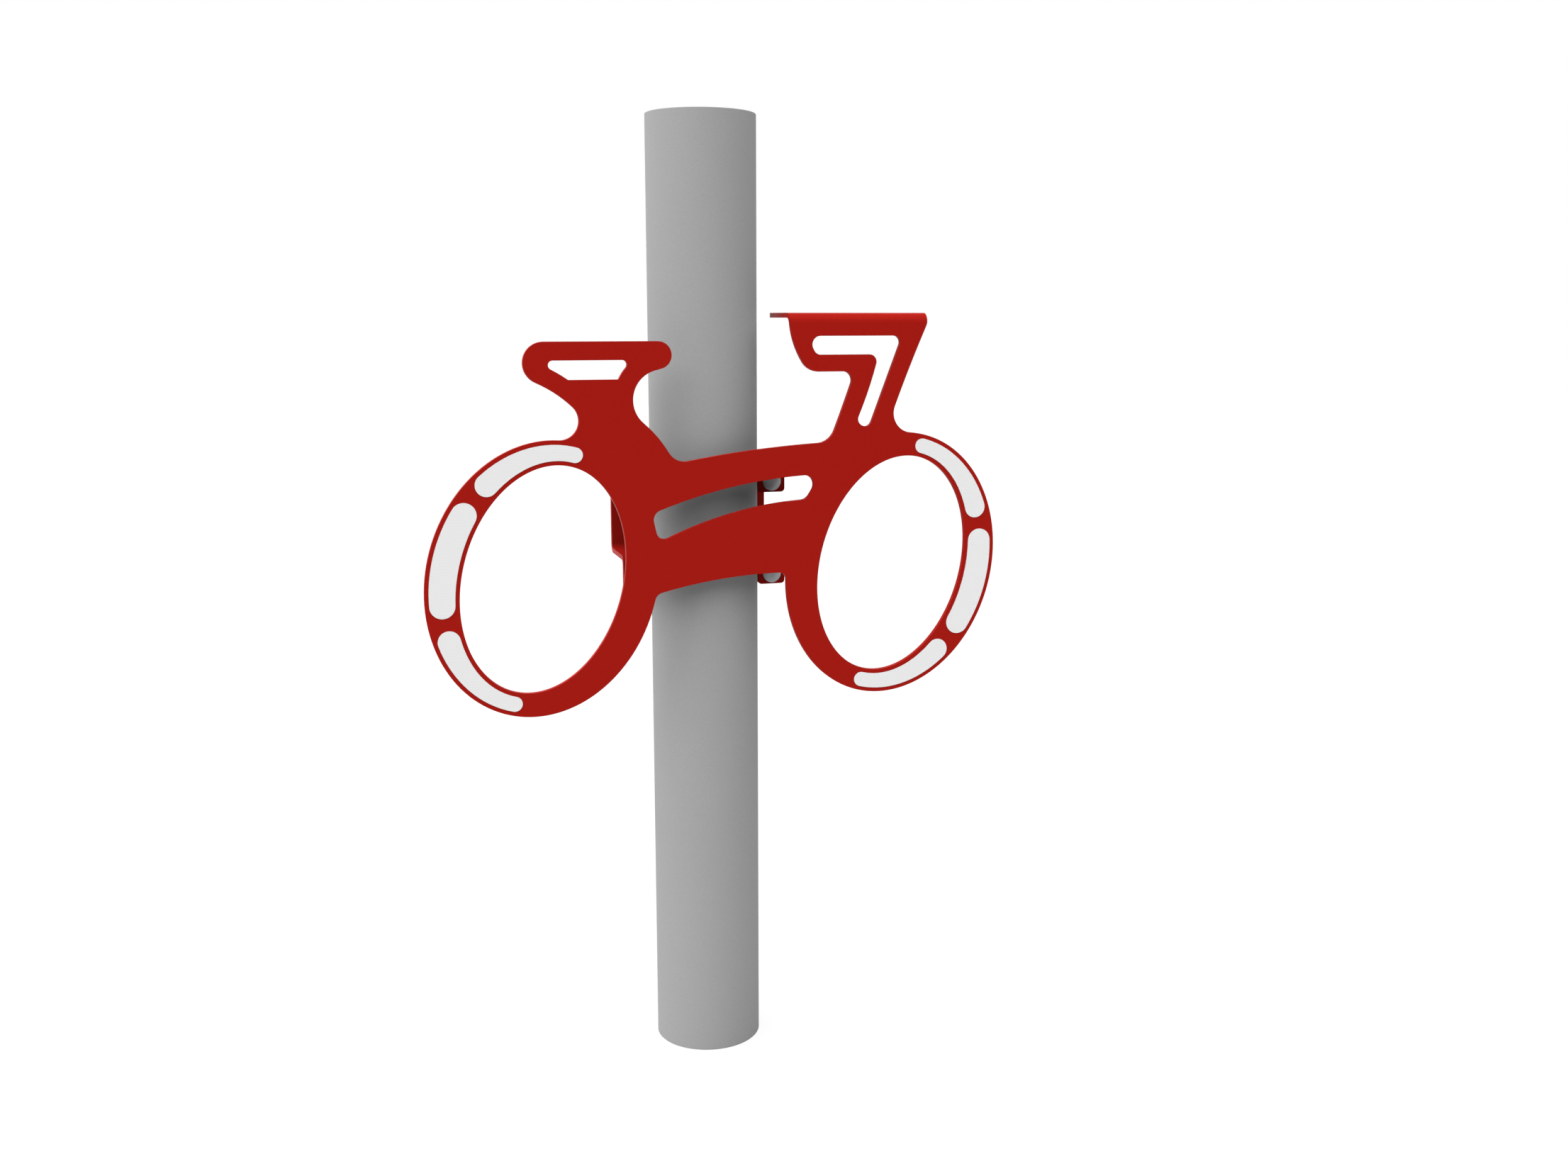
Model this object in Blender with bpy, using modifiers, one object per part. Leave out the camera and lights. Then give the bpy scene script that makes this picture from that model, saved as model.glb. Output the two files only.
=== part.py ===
# Bike hook for a round pole: a bicycle outline cut from steel sheet, held by a bolted two-part clamp.
# Metres, +Z up. The origin is on the pole's axis at its foot, and the bicycle faces -Y.

import math

import bmesh
import bpy
from mathutils import Matrix, Vector

# Pole
POLE_OD = 0.1143
POLE_WALL = 0.0036
POLE_LENGTH = 1.000

# Sheet metal, the same gauge for the bicycle and the clamp
SHEET = 0.005
BEND_INNER_R = 0.005
BEND_STEPS = 8
PLATE_FRONT = 0.0825
HUB_HEIGHT = 0.5381

# Wheels: leaning ellipses, the rear wheel at -X and the front wheel at +X
WHEEL_X = 0.184
WHEEL_TILT = math.radians(75.0)
RIM_LONG = 0.140
RIM_SHORT = 0.115
HOLE_LONG = 0.116
HOLE_SHORT = 0.080

# Edges of the bicycle. REAR_ places are measured from the rear hub, FRONT_ places from the front hub.
# Front stem and handlebar
STEM_FOOT_R = 0.0207
FRONT_STEM_LOW = (0.0034, 0.1710)
FRONT_STEM_HIGH = (0.0328, 0.2427)
STEM_HOLLOW_R = 1.472
BAR_CORNER_R = 0.014
FRONT_BAR_RIGHT = 0.0364
FRONT_BAR_LEFT = -0.1133
FRONT_BAR_BACK = (-0.0220, 0.2602)
BAR_BACK_R = 0.0913
BAR_HEEL_R = 0.0203
BAR_UNDERSIDE = 0.2023
STEM_ARMPIT_R = 0.0093
FRONT_STEM_BACK_HIGH = (-0.0490, 0.1838)
FRONT_STEM_BACK_LOW = (-0.0640, 0.1440)
STEM_HEEL_R = 0.0202
# Flange folded back from the top of the handlebar
BAR_TOP = 0.2616
FLANGE_DEPTH = 0.080
FLANGE_CORNER_R = 0.010
# Top tube and down tube
REAR_TOP_TUBE = (0.1480, 0.1142)
FRONT_TOP_TUBE = (-0.0800, 0.1295)
TOP_TUBE_R = 1.122
REAR_DOWN_TUBE = (0.1280, -0.0166)
FRONT_DOWN_TUBE = (-0.1260, -0.0039)
DOWN_TUBE_R = 0.5068
REAR_DOWN_FILLET_R = 0.010
FRONT_DOWN_FILLET_R = 0.008
# Seat mast and saddle
SEAT_FOOT_R = 0.0193
REAR_SEAT_FRONT = (0.0227, 0.0605)
SEAT_FRONT_R = 0.1228
NECK_FRONT_R = 0.030
REAR_NOSE_UNDER = (0.1180, 0.2059)
NOSE_RISE = math.radians(14.8)
NOSE_R = 0.0137
SADDLE_TOP = 0.2339
SADDLE_REAR_R = 0.02075
REAR_SADDLE_UNDER = (-0.0529, 0.0819)
SADDLE_UNDER_R = 0.1229
NECK_REAR_R = 0.0187

# Slot between top tube and down tube
REAR_SLOT_TOP = (0.1220, 0.0668)
FRONT_SLOT_TOP = (-0.1000, 0.0964)
SLOT_TOP_R = 0.5107
REAR_SLOT_BOTTOM = (0.1260, 0.0367)
FRONT_SLOT_BOTTOM = (-0.1020, 0.0711)
SLOT_BOTTOM_R = 0.4056
REAR_SLOT_END = (0.1132, 0.0482)
SLOT_END_REAR_TURN = math.radians(-77.5)
FRONT_SLOT_END = (-0.0920, 0.0763)
SLOT_END_FRONT_TURN = math.radians(57.8)
SLOT_REAR_TOP_R = 0.0101
SLOT_REAR_BOTTOM_R = 0.0086
SLOT_FRONT_TOP_R = 0.0099
SLOT_FRONT_BOTTOM_R = 0.0110

# Seven-shaped slot in the handlebar and stem
SEVEN_TOP = 0.2384
SEVEN_UNDERSIDE = 0.2194
FRONT_SEVEN_RIGHT_LOW = (-0.0237, 0.1512)
FRONT_SEVEN_RIGHT_HIGH = (0.0014, 0.2171)
FRONT_SEVEN_LEG_HIGH = (-0.0209, 0.2054)
FRONT_SEVEN_LEG_LOW = (-0.0330, 0.1694)
SEVEN_LEG_R = 0.419
FRONT_SEVEN_FOOT = (-0.0338, 0.1462)
SEVEN_FOOT_R = 0.0072
SEVEN_TOP_RIGHT_R = 0.0070
SEVEN_ELBOW_R = 0.0076
FRONT_SEVEN_END = (-0.0876, 0.2248)
SEVEN_END_TURN = math.radians(-61.8)
SEVEN_END_TOP_R = 0.0087
SEVEN_END_BOTTOM_R = 0.0079

# Slot in the saddle
SADDLE_SLOT_TOP = 0.2157
SADDLE_SLOT_BOTTOM = 0.1968
SADDLE_BAND_FRONT = 0.0187
SADDLE_BAND_REAR = 0.0181
SADDLE_SLOT_TOP_R = 0.0045
SADDLE_SLOT_FOOT_R = 0.0015

# Reflective strips, by the polar angles of their tips about the rear hub in degrees
STRIP_MARGIN = 0.0043
STRIP_THICKNESS = 0.0004
STRIP_GAP = 0.0001
STRIP_SPANS = (("upper", 71.3, 124.9), ("middle", 131.4, 198.8), ("lower", 205.2, 258.7))

# Clamp
CLAMP_WIDTH = 0.1745
CLAMP_DEPTH = 0.074
LOWER_FLANGE = 0.540
FLANGE_PITCH = 0.100
TAB_GAP = 0.010
TAB_DROP = 0.030
TAB_CORNER_R = 0.004
POLE_CLEARANCE = 0.0003
SEAT_GAP = 0.0003

# Coach bolts, washers and nuts
BOLT_X = 0.07275
BOLT_RISE = 0.0115
BOLT_D = 0.008
BOLT_LENGTH = 0.040
HEAD_D = 0.0200
HEAD_HEIGHT = 0.00465
HEAD_RIM_HEIGHT = 0.0007
NECK_SIDE = 0.0084
NECK_DEPTH = 0.0044
BOLT_TIP_CHAMFER = 0.0010
HOLE_CLEARANCE = 0.0003
ROUND_HOLE_D = 0.009
WASHER_OD = 0.016
WASHER_THICKNESS = 0.0016
NUT_FLATS = 0.013
NUT_HEIGHT = 0.0065
NUT_CHAMFER_ANGLE = math.radians(30.0)

# Fineness of the round stretches
CHORD_ERROR = 0.00004
POLE_STEPS = 96
FASTENER_STEPS = 32
DOME_STEPS = 7
SHARP_ANGLE = math.radians(30.0)
MERGE_DISTANCE = 0.00001

# Limits of the searches for points on the edges
SEARCH_STEPS = 60
LONGEST_STRIDE = 0.02
NEARLY_ZERO = 1e-9

# Worked out from the sizes above
PLATE_BACK = PLATE_FRONT - SHEET
NEUTRAL_R = BEND_INNER_R + SHEET / 2
BEND_OUTER_R = BEND_INNER_R + SHEET
BEND_LENGTH = NEUTRAL_R * math.pi / 2
NOTCH_R = POLE_OD / 2 + POLE_CLEARANCE
BAR_BEND_START = BAR_TOP - BEND_OUTER_R
FLANGE_FLAT = FLANGE_DEPTH - BEND_OUTER_R
TAB_FACE = TAB_GAP / 2 + SHEET
HEAD_SEAT = TAB_FACE + SEAT_GAP
BORE_D = BOLT_D + 2 * HOLE_CLEARANCE
LEVELS = (("upper", LOWER_FLANGE + FLANGE_PITCH), ("lower", LOWER_FLANGE))
SIDES = (("left", -1), ("right", 1))
REAR_HUB = Vector((-WHEEL_X, 0.0))
FRONT_HUB = Vector((WHEEL_X, 0.0))

# Colours, roughness and metallic values
PAINT_RED = ((0.352, 0.011, 0.007, 1.0), 0.30, 0.0)
FILM_WHITE = ((0.80, 0.80, 0.80, 1.0), 0.45, 0.0)
POLE_GREY = ((0.42, 0.42, 0.42, 1.0), 0.55, 0.2)
ZINC = ((0.45, 0.46, 0.47, 1.0), 0.35, 1.0)


def cleared_scene():
    for obj in list(bpy.data.objects):
        bpy.data.objects.remove(obj, do_unlink=True)
    scene = bpy.context.scene
    parts = bpy.data.collections.new("pole_bike_hook")
    cutters = bpy.data.collections.new("cutters")
    scene.collection.children.link(parts)
    scene.collection.children.link(cutters)
    cutters.hide_render = True
    return parts, cutters


def heading(angle):
    return Vector((math.cos(angle), math.sin(angle)))


def turned_left(v):
    return Vector((-v.y, v.x))


class Line:
    """A straight edge through a point; what it bounds is on the left of its travel."""

    def __init__(self, through, angle):
        self.start = Vector(through)
        self.along = heading(angle)

    def foot(self, p):
        return (p - self.start).dot(self.along)

    def at(self, t):
        return self.start + self.along * t

    def inward(self, t):
        return turned_left(self.along)

    def run(self, t0, t1):
        return [self.at(t0), self.at(t1)]


class Ellipse:
    """An ellipse or circle. Travelled anticlockwise it bounds its inside, and clockwise its outside."""

    def __init__(self, centre, long, short=None, tilt=0.0, clockwise=False):
        self.centre = Vector(centre)
        self.long = long
        self.short = short or long
        self.major = heading(tilt)
        self.minor = turned_left(self.major)
        self.sense = -1 if clockwise else 1

    def at(self, t):
        x, y = self.long * math.cos(t), self.short * math.sin(t)
        return self.centre + self.major * x + self.minor * y

    def inward(self, t):
        out = self.major * self.short * math.cos(t) + self.minor * self.long * math.sin(t)
        return out.normalized() * -self.sense

    def foot(self, p):
        x, y = (p - self.centre).dot(self.major), (p - self.centre).dot(self.minor)
        t = math.atan2(y * self.long, x * self.short)
        focal = self.long ** 2 - self.short ** 2
        for _ in range(SEARCH_STEPS):
            c, s = math.cos(t), math.sin(t)
            miss = focal * c * s - x * self.long * s + y * self.short * c
            slope = focal * (c * c - s * s) - x * self.long * c - y * self.short * s
            if abs(slope) < NEARLY_ZERO:
                break
            t -= miss / slope
        return t

    def run(self, t0, t1):
        turn = (t1 - t0) * self.sense % (2 * math.pi)
        steps = max(2, math.ceil(turn / arc_step(self.long)))
        return [self.at(t0 + self.sense * turn * k / steps) for k in range(steps + 1)]


def arc_step(radius):
    """The angle between points on a round edge that keeps the chords within CHORD_ERROR."""
    return 2 * math.acos(max(0.0, 1 - CHORD_ERROR / radius))


def arc_between(p, q, radius, clockwise):
    """The circle of this radius through two points, travelled from the first to the second."""
    p, q = Vector(p), Vector(q)
    chord = q - p
    rise = math.sqrt(radius ** 2 - (chord.length / 2) ** 2)
    side = turned_left(chord.normalized()) * (-1 if clockwise else 1)
    return Ellipse((p + q) / 2 + side * rise, radius, clockwise=clockwise)


def depth(edge, p):
    """How far a point lies inside an edge."""
    t = edge.foot(p)
    return (p - edge.at(t)).dot(edge.inward(t))


def corner_centre(a, b, inset, near):
    """The point that lies the same depth inside two edges, by Newton's method from a place near it."""
    p = Vector(near)
    for _ in range(SEARCH_STEPS):
        miss_a, miss_b = depth(a, p) - inset, depth(b, p) - inset
        in_a, in_b = a.inward(a.foot(p)), b.inward(b.foot(p))
        area = in_a.x * in_b.y - in_a.y * in_b.x
        step = Vector((miss_a * in_b.y - miss_b * in_a.y, miss_b * in_a.x - miss_a * in_b.x)) / area
        p -= step * min(1.0, LONGEST_STRIDE / max(step.length, NEARLY_ZERO))
    return p


def joined(corners):
    """One closed loop of points. Each corner is (edge, radius, place near the corner to the next edge),
    with a positive radius where the bounded side is inside the corner and a negative one outside it."""
    count = len(corners)
    centres = [
        corner_centre(edge, corners[(i + 1) % count][0], radius, near)
        for i, (edge, radius, near) in enumerate(corners)
    ]
    loop = []
    for i, (edge, radius, _) in enumerate(corners):
        start = edge.foot(centres[i - 1])
        end = edge.foot(centres[i])
        loop += edge.run(start, end)[1:]
        if radius:
            following = corners[(i + 1) % count][0]
            arc = Ellipse(centres[i], abs(radius), clockwise=radius < 0)
            last = following.at(following.foot(centres[i]))
            loop += arc.run(arc.foot(edge.at(end)), arc.foot(last))[1:]
    return loop


def from_rear(place):
    return REAR_HUB + Vector(place)


def from_front(place):
    return FRONT_HUB + Vector(place)


def wheel(hub, long, short):
    return Ellipse(hub, long, short, WHEEL_TILT)


def bicycle_edges():
    """The named edges that the outline and the saddle slot share."""
    return {
        "front_rim": wheel(FRONT_HUB, RIM_LONG, RIM_SHORT),
        "rear_rim": wheel(REAR_HUB, RIM_LONG, RIM_SHORT),
        "stem_front": arc_between(
            from_front(FRONT_STEM_LOW), from_front(FRONT_STEM_HIGH), STEM_HOLLOW_R, clockwise=True
        ),
        "seat_front": Ellipse(from_rear(REAR_SEAT_FRONT), SEAT_FRONT_R),
        "nose_under": Line(from_rear(REAR_NOSE_UNDER), NOSE_RISE),
        "saddle_under": Ellipse(from_rear(REAR_SADDLE_UNDER), SADDLE_UNDER_R, clockwise=True),
    }


def neck_front_centre(edges):
    near = from_rear(REAR_NOSE_UNDER) - Vector((0, NECK_FRONT_R))
    return corner_centre(edges["seat_front"], edges["nose_under"], -NECK_FRONT_R, near)


def bicycle_outline(edges):
    """The bicycle laid flat, with the handlebar flange unfolded upwards from its bend."""
    free_edge = BAR_BEND_START + BEND_LENGTH + FLANGE_FLAT
    bar_right = Line(from_front((FRONT_BAR_RIGHT, 0)), math.pi / 2)
    bar_left = Line(from_front((FRONT_BAR_LEFT, 0)), -math.pi / 2)
    flange_end = Line((0, free_edge), math.pi)
    bar_back = Ellipse(from_front(FRONT_BAR_BACK), BAR_BACK_R)
    bar_under = Line((0, BAR_UNDERSIDE), 0)
    stem_back = arc_between(
        from_front(FRONT_STEM_BACK_HIGH), from_front(FRONT_STEM_BACK_LOW), STEM_HOLLOW_R, clockwise=True
    )
    top_tube = arc_between(from_front(FRONT_TOP_TUBE), from_rear(REAR_TOP_TUBE), TOP_TUBE_R, clockwise=False)
    down_tube = arc_between(
        from_rear(REAR_DOWN_TUBE), from_front(FRONT_DOWN_TUBE), DOWN_TUBE_R, clockwise=True
    )
    saddle_top = Line((0, SADDLE_TOP), math.pi)
    stem_foot = from_front(FRONT_STEM_LOW) + Vector((STEM_FOOT_R, 0))
    nose = from_rear(REAR_NOSE_UNDER) + Vector((0, NOSE_R))
    saddle_rear = from_rear(REAR_SADDLE_UNDER) + Vector((SADDLE_UNDER_R / 2, SADDLE_UNDER_R))
    neck_rear = from_rear((0, RIM_LONG + NECK_REAR_R))
    bar_heel = (from_front(FRONT_BAR_BACK).x - BAR_BACK_R + BAR_HEEL_R, BAR_UNDERSIDE + BAR_HEEL_R)
    corners = (
        (edges["front_rim"], -STEM_FOOT_R, stem_foot),
        (edges["stem_front"], BAR_CORNER_R, from_front((FRONT_BAR_RIGHT - BAR_CORNER_R, BAR_BEND_START))),
        (bar_right, FLANGE_CORNER_R, from_front((FRONT_BAR_RIGHT, free_edge))),
        (flange_end, FLANGE_CORNER_R, from_front((FRONT_BAR_LEFT, free_edge))),
        (bar_left, 0, from_front((FRONT_BAR_LEFT, BAR_BEND_START))),
        (bar_back, BAR_HEEL_R, bar_heel),
        (bar_under, -STEM_ARMPIT_R, from_front(FRONT_STEM_BACK_HIGH)),
        (stem_back, -STEM_HEEL_R, from_front(FRONT_STEM_BACK_LOW) - Vector((STEM_HEEL_R, 0))),
        (top_tube, -SEAT_FOOT_R, from_rear(REAR_TOP_TUBE) + Vector((0, SEAT_FOOT_R))),
        (edges["seat_front"], -NECK_FRONT_R, neck_front_centre(edges)),
        (edges["nose_under"], NOSE_R, nose),
        (saddle_top, SADDLE_REAR_R, saddle_rear),
        (edges["saddle_under"], -NECK_REAR_R, neck_rear),
        (edges["rear_rim"], -REAR_DOWN_FILLET_R, from_rear(REAR_DOWN_TUBE) - Vector((0, REAR_DOWN_FILLET_R))),
        (down_tube, -FRONT_DOWN_FILLET_R, from_front(FRONT_DOWN_TUBE) - Vector((0, FRONT_DOWN_FILLET_R))),
    )
    return joined(corners)


def frame_slot():
    top = arc_between(from_front(FRONT_SLOT_TOP), from_rear(REAR_SLOT_TOP), SLOT_TOP_R, clockwise=False)
    bottom = arc_between(
        from_rear(REAR_SLOT_BOTTOM), from_front(FRONT_SLOT_BOTTOM), SLOT_BOTTOM_R, clockwise=True
    )
    rear_end = Line(from_rear(REAR_SLOT_END), SLOT_END_REAR_TURN)
    front_end = Line(from_front(FRONT_SLOT_END), SLOT_END_FRONT_TURN)
    corners = (
        (bottom, SLOT_FRONT_BOTTOM_R, from_front(FRONT_SLOT_BOTTOM) + Vector((0, SLOT_FRONT_BOTTOM_R))),
        (front_end, SLOT_FRONT_TOP_R, from_front(FRONT_SLOT_TOP) - Vector((0, SLOT_FRONT_TOP_R))),
        (top, SLOT_REAR_TOP_R, from_rear(REAR_SLOT_TOP) - Vector((0, SLOT_REAR_TOP_R))),
        (rear_end, SLOT_REAR_BOTTOM_R, from_rear(REAR_SLOT_BOTTOM) + Vector((0, SLOT_REAR_BOTTOM_R))),
    )
    return joined(corners)


def seven_slot():
    low, high = from_front(FRONT_SEVEN_RIGHT_LOW), from_front(FRONT_SEVEN_RIGHT_HIGH)
    lean = math.atan2(high.y - low.y, high.x - low.x)
    right = Line(low, lean)
    top = Line((0, SEVEN_TOP), math.pi)
    end = Line(from_front(FRONT_SEVEN_END), SEVEN_END_TURN)
    underside = Line((0, SEVEN_UNDERSIDE), 0)
    leg_high, leg_low = from_front(FRONT_SEVEN_LEG_HIGH), from_front(FRONT_SEVEN_LEG_LOW)
    leg = arc_between(leg_high, leg_low, SEVEN_LEG_R, clockwise=True)
    foot = Line(from_front(FRONT_SEVEN_FOOT), lean - math.pi / 2)
    corners = (
        (right, SEVEN_TOP_RIGHT_R, (high.x, SEVEN_TOP)),
        (top, SEVEN_END_TOP_R, from_front(FRONT_SEVEN_END)),
        (end, SEVEN_END_BOTTOM_R, from_front(FRONT_SEVEN_END)),
        (underside, -SEVEN_ELBOW_R, leg_high),
        (leg, SEVEN_FOOT_R, leg_low),
        (foot, SEVEN_FOOT_R, low),
    )
    return joined(corners)


def saddle_slot(edges):
    bottom = Line((0, SADDLE_SLOT_BOTTOM), 0)
    top = Line((0, SADDLE_SLOT_TOP), math.pi)
    front = Ellipse(neck_front_centre(edges), NECK_FRONT_R + SADDLE_BAND_FRONT, clockwise=True)
    rear = Ellipse(from_rear(REAR_SADDLE_UNDER), SADDLE_UNDER_R + SADDLE_BAND_REAR, clockwise=True)
    front_x = front.centre.x - front.long
    rear_x = rear.centre.x + rear.long / 2
    corners = (
        (bottom, SADDLE_SLOT_FOOT_R, (front_x, SADDLE_SLOT_BOTTOM)),
        (front, SADDLE_SLOT_TOP_R, (front_x, SADDLE_SLOT_TOP)),
        (top, SADDLE_SLOT_TOP_R, (rear_x, SADDLE_SLOT_TOP)),
        (rear, SADDLE_SLOT_FOOT_R, (rear_x, SADDLE_SLOT_BOTTOM)),
    )
    return joined(corners)


def full_circle(edge):
    return edge.run(0, 2 * math.pi - edge.sense * NEARLY_ZERO)[:-1]


def middle_of_rim(rim, hole, hub, angle):
    """The point of the rim's band that is as far from its outer edge as from the hole, and that distance."""
    near, far = 0.0, 2 * RIM_LONG
    for _ in range(SEARCH_STEPS):
        reach = (near + far) / 2
        p = hub + heading(angle) * reach
        if depth(rim, p) > -depth(hole, p):
            near = reach
        else:
            far = reach
    return p, depth(rim, p)


def strip_end(rim, hole, hub, tip, towards):
    """The centre and radius of a strip's round end, whose tip just touches the ray at a polar angle."""
    angle = tip
    for _ in range(SEARCH_STEPS):
        centre, half = middle_of_rim(rim, hole, hub, angle)
        radius = half - STRIP_MARGIN
        angle = tip + towards * math.asin(radius / (centre - hub).length)
    return centre, radius


def strip_outline(hub, start, end):
    """A strip that follows the rim between two polar angles, with round ends and even margins."""
    rim, hole = wheel(hub, RIM_LONG, RIM_SHORT), wheel(hub, HOLE_LONG, HOLE_SHORT)
    first, first_r = strip_end(rim, hole, hub, start, 1)
    last, last_r = strip_end(rim, hole, hub, end, -1)
    outer = rim.run(rim.foot(first), rim.foot(last))
    inner = hole.run(hole.foot(first), hole.foot(last))
    loop = [p + rim.inward(rim.foot(p)) * STRIP_MARGIN for p in outer]
    inner = [p - hole.inward(hole.foot(p)) * STRIP_MARGIN for p in inner]
    far_cap = Ellipse(last, last_r)
    near_cap = Ellipse(first, first_r)
    loop += far_cap.run(far_cap.foot(loop[-1]), far_cap.foot(inner[-1]))[1:-1]
    loop += inner[::-1]
    loop += near_cap.run(near_cap.foot(inner[0]), near_cap.foot(loop[0]))[1:-1]
    return loop


def sheet_mesh(name, loops, thickness):
    """A flat sheet lying in XY, centred on Z = 0, cut to the first loop with the other loops as holes."""
    curve = bpy.data.curves.new(name, "CURVE")
    curve.dimensions = "2D"
    curve.fill_mode = "BOTH"
    curve.extrude = thickness / 2
    for loop in loops:
        spline = curve.splines.new("POLY")
        spline.points.add(len(loop) - 1)
        for point, (x, y) in zip(spline.points, loop):
            point.co = (x, y, 0, 1)
        spline.use_cyclic_u = True
    holder = bpy.data.objects.new(name, curve)
    bpy.context.scene.collection.objects.link(holder)
    graph = bpy.context.evaluated_depsgraph_get()
    mesh = bpy.data.meshes.new_from_object(holder.evaluated_get(graph))
    mesh.name = name
    bpy.data.objects.remove(holder, do_unlink=True)
    bpy.data.curves.remove(curve)
    bm = bmesh.new()
    bm.from_mesh(mesh)
    bmesh.ops.remove_doubles(bm, verts=bm.verts, dist=MERGE_DISTANCE)
    bmesh.ops.recalc_face_normals(bm, faces=bm.faces)
    return mesh, bm


def folded(bm, start, angle, stretches):
    """Folds a flat sheet. Its local Y is the developed length, walked from a start in the world's YZ plane at
    an angle, through stretches: a flat length, or ("bend", 1) or ("bend", -1) for a quarter bend left or
    right."""
    laid = []
    length = 0.0
    place, turn = Vector(start), angle
    for stretch in stretches:
        if isinstance(stretch, tuple):
            quarter = stretch[1]
            cuts = [length + BEND_LENGTH * k / BEND_STEPS for k in range(BEND_STEPS + 1)]
            for cut in cuts:
                everything = bm.verts[:] + bm.edges[:] + bm.faces[:]
                bmesh.ops.bisect_plane(bm, geom=everything, plane_co=(0, cut, 0), plane_no=(0, 1, 0))
            pivot = place + turned_left(heading(turn)) * NEUTRAL_R * quarter
            laid.append((length, place, turn, quarter, pivot))
            length += BEND_LENGTH
            place = pivot - turned_left(heading(turn + quarter * math.pi / 2)) * NEUTRAL_R * quarter
            turn += quarter * math.pi / 2
        else:
            laid.append((length, place, turn, 0, None))
            length += stretch
            place = place + heading(turn) * stretch
    for vertex in bm.verts:
        x, developed, offset = vertex.co
        along, begin, turn, quarter, pivot = next(
            (row for row in reversed(laid) if developed >= row[0] - MERGE_DISTANCE), laid[0]
        )
        if quarter:
            turn += quarter * (developed - along) / NEUTRAL_R
            spot = pivot - turned_left(heading(turn)) * (NEUTRAL_R * quarter - offset)
        else:
            spot = begin + heading(turn) * (developed - along) + turned_left(heading(turn)) * offset
        vertex.co = (x, spot.x, spot.y)


def material(name, look):
    colour, roughness, metallic = look
    made = bpy.data.materials.new(name)
    made.use_nodes = True
    shader = made.node_tree.nodes["Principled BSDF"]
    shader.inputs["Base Color"].default_value = colour
    shader.inputs["Roughness"].default_value = roughness
    shader.inputs["Metallic"].default_value = metallic
    return made


def add_object(name, mesh, collection, look, location=(0, 0, 0)):
    obj = bpy.data.objects.new(name, mesh)
    collection.objects.link(obj)
    obj.location = location
    if look:
        mesh.materials.append(material(name, look))
    return obj


def finished(mesh, bm):
    bm.to_mesh(mesh)
    bm.free()
    mesh.shade_smooth()
    mesh.set_sharp_from_angle(angle=SHARP_ANGLE)


def sheet_part(name, mesh, bm, parts, look, origin):
    """A folded sheet as an object whose origin is at a chosen place."""
    bmesh.ops.translate(bm, verts=bm.verts, vec=-Vector(origin))
    finished(mesh, bm)
    return add_object(name, mesh, parts, look, origin)


def make_bike_plate(parts):
    edges = bicycle_edges()
    loops = (
        bicycle_outline(edges),
        full_circle(wheel(REAR_HUB, HOLE_LONG, HOLE_SHORT)),
        full_circle(wheel(FRONT_HUB, HOLE_LONG, HOLE_SHORT)),
        frame_slot(),
        seven_slot(),
        saddle_slot(edges),
    )
    mesh, bm = sheet_mesh("bike_plate", loops, SHEET)
    middle = (-(PLATE_FRONT + PLATE_BACK) / 2, HUB_HEIGHT)
    folded(bm, middle, math.pi / 2, (BAR_BEND_START, ("bend", -1), FLANGE_FLAT))
    sheet_part("bike_plate", mesh, bm, parts, PAINT_RED, (0, 0, HUB_HEIGHT))


def make_reflector_strips(parts):
    upright = Matrix.Rotation(math.pi / 2, 4, "X")
    for wheel_name, hub, turn in (("rear", REAR_HUB, 0.0), ("front", FRONT_HUB, 180.0)):
        for place, start, end in STRIP_SPANS:
            loop = strip_outline(Vector((0, 0)), math.radians(start + turn), math.radians(end + turn))
            name = f"reflector_{wheel_name}_{place}"
            mesh, bm = sheet_mesh(name, [loop], STRIP_THICKNESS)
            bmesh.ops.transform(bm, matrix=upright, verts=bm.verts)
            finished(mesh, bm)
            film_y = -(PLATE_FRONT + STRIP_GAP + STRIP_THICKNESS / 2)
            add_object(name, mesh, parts, FILM_WHITE, (hub.x, film_y, HUB_HEIGHT))


def circle_loop(x, y, radius):
    return full_circle(Ellipse((x, y), radius))


def square_loop(x, y, side):
    half = side / 2
    return [Vector((x + i * half, y + j * half)) for i, j in ((-1, -1), (1, -1), (1, 1), (-1, 1))]


def tab_holes(end, direction, loop_at, size):
    """The bolt holes of a pair of tabs whose free edge is at a developed length."""
    row = end - direction * BOLT_RISE
    return [loop_at(side * BOLT_X, row, size) for _, side in SIDES]


def tab_corner(a, b, near):
    """The points of one rounded tab corner between two edges."""
    centre = corner_centre(a, b, TAB_CORNER_R, near)
    arc = Ellipse(centre, TAB_CORNER_R)
    return arc.run(arc.foot(a.at(a.foot(centre))), arc.foot(b.at(b.foot(centre))))


def notched_arms(centre, end):
    """The boundary of a pair of arms, from the outside of one tab round the notch to that of the other.
    The notch is round about the pole's axis and runs straight out between the tabs."""
    out = 1 if end > centre else -1
    outside, inside = CLAMP_WIDTH / 2 * out, NOTCH_R * out
    away = math.pi / 2 * out
    free_edge = Line((0, end), away + math.pi / 2)
    notch = Ellipse((0, centre), NOTCH_R, clockwise=True)
    start = notch.foot(Vector((inside, centre)))
    loop = tab_corner(Line((outside, 0), away), free_edge, (outside, end))
    loop += tab_corner(free_edge, Line((inside, 0), -away), (inside, end))
    loop += notch.run(start, start + math.pi)
    loop += tab_corner(Line((-inside, 0), away), free_edge, (-inside, end))
    loop += tab_corner(free_edge, Line((-outside, 0), -away), (-outside, end))
    return loop


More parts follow.
